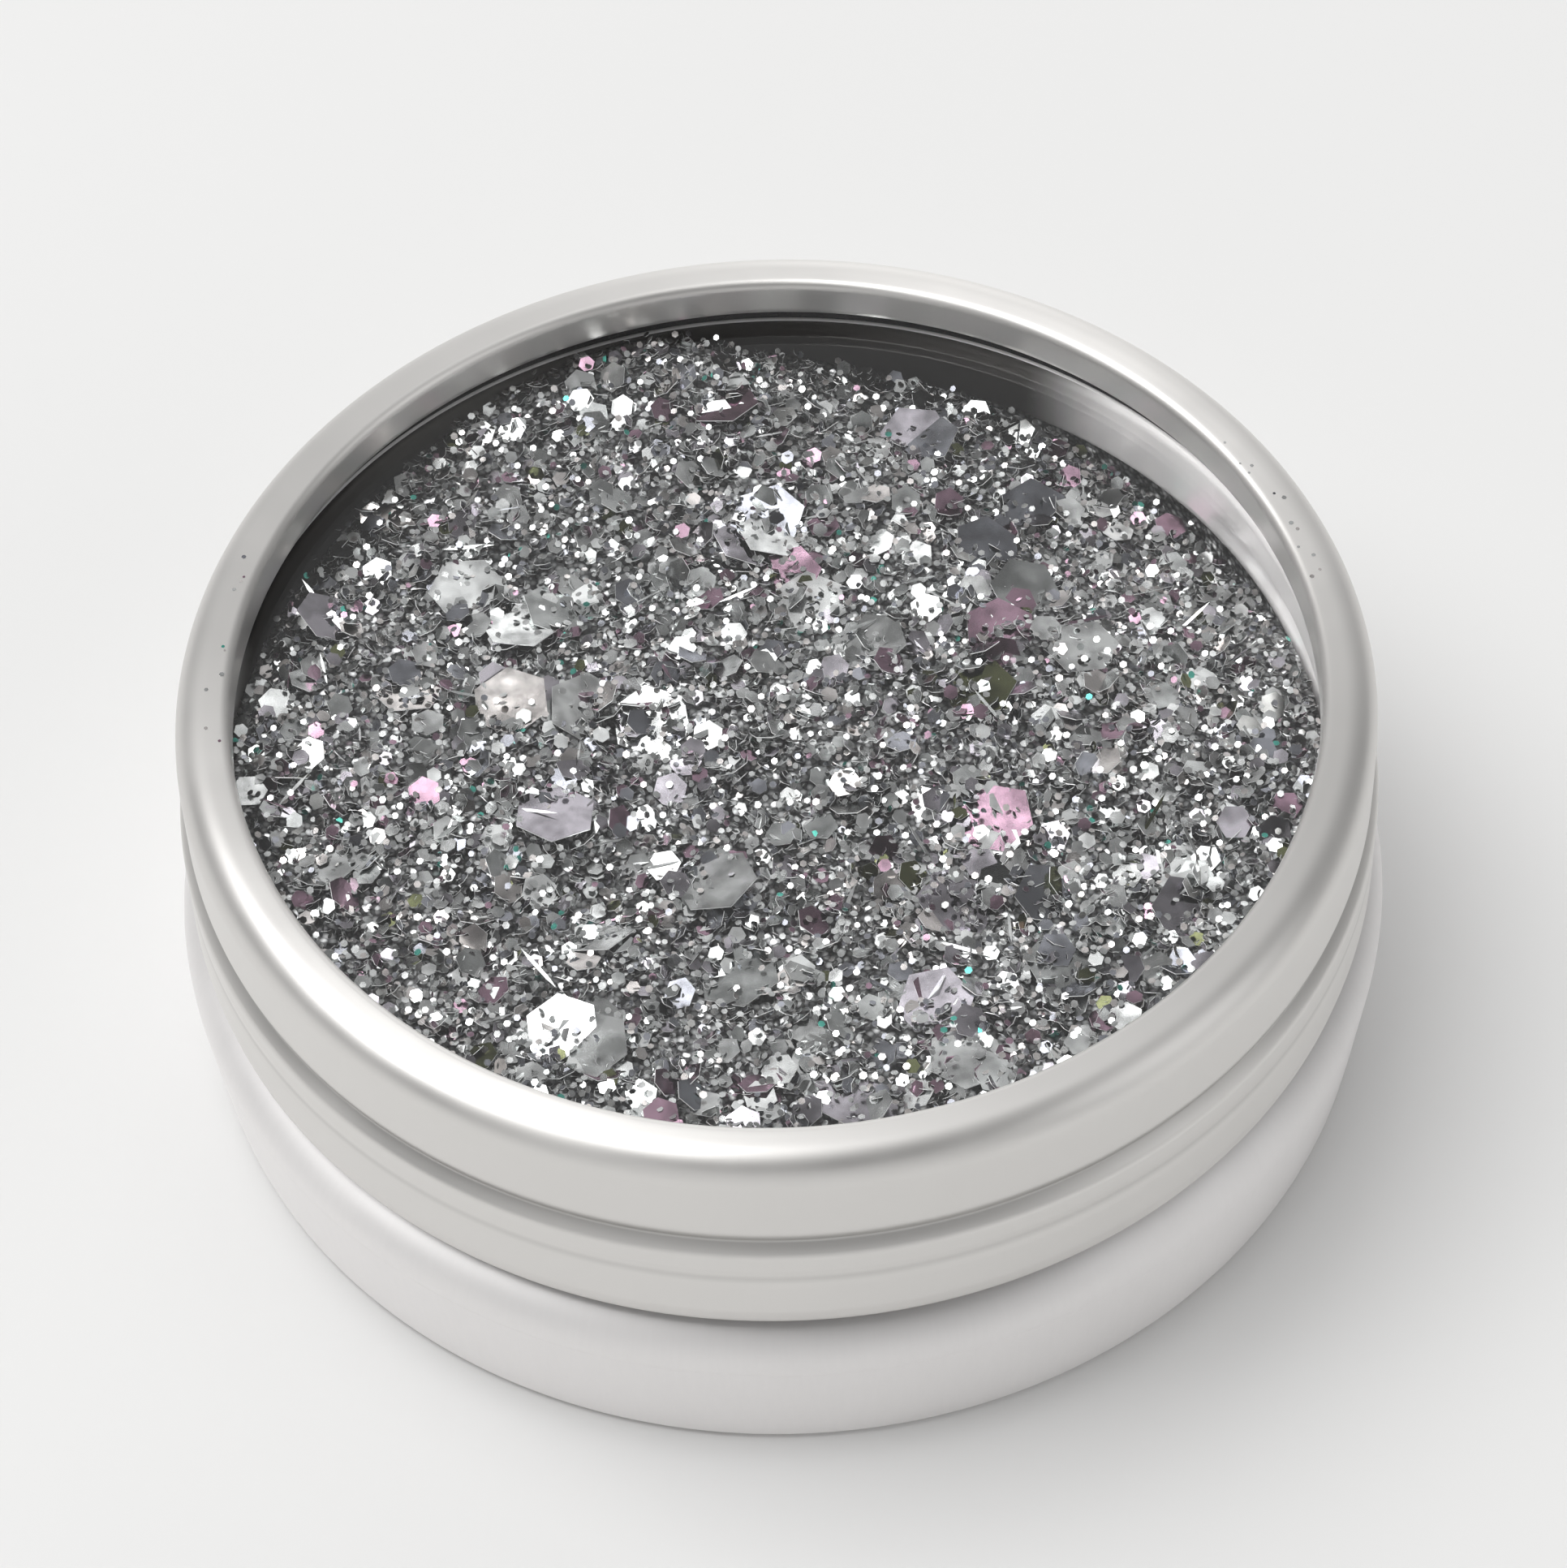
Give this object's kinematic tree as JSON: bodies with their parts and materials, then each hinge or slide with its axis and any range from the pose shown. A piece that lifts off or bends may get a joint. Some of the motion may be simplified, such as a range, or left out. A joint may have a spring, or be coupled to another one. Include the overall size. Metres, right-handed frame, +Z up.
{
  "type": "round screw-lid window tin",
  "caption": "Shallow round satin aluminium tin with a screw lid and a clear window, filled with chunky silver craft glitter.",
  "frame": {"origin": "centre of the circle the tin stands on", "axes": "+Z up along the tin's axis, from the foot to the lid; the slumped side of the glitter lies between +X and +Y"},
  "size_m": [0.0518, 0.0518, 0.0188],
  "materials": {
    "satin_aluminium": "satin",
    "clear_window": "clear, glossy",
    "foam_liner": "closed-cell foam",
    "silver_glitter": "metallised flakes"
  },
  "bodies": {
    "base": {"base_cup": "satin_aluminium", "glitter_fill": "silver_glitter"},
    "liner": {"liner_ring": "foam_liner"},
    "window": {"window_disc": "clear_window"},
    "lid": {"lid_shell": "satin_aluminium"}
  },
  "joints": [
    {"name": "lid_lift", "type": "slide", "parent": "base", "child": "liner", "axis": [0, 0, 1], "range_m": [0, 0.036]},
    {"name": "thread_rise", "type": "slide", "parent": "liner", "child": "window", "axis": [0, 0, 1], "range_m": [0, 0.0029]},
    {"name": "lid_turn", "type": "hinge", "parent": "window", "child": "lid", "pos_m": [0, 0, 0.0137], "axis": [0, 0, 1], "range_deg": [0, 405]}
  ],
  "couplings": [
    {"joint": "thread_rise", "follows": "lid_turn", "m_per_rad": 0.00039789}
  ]
}
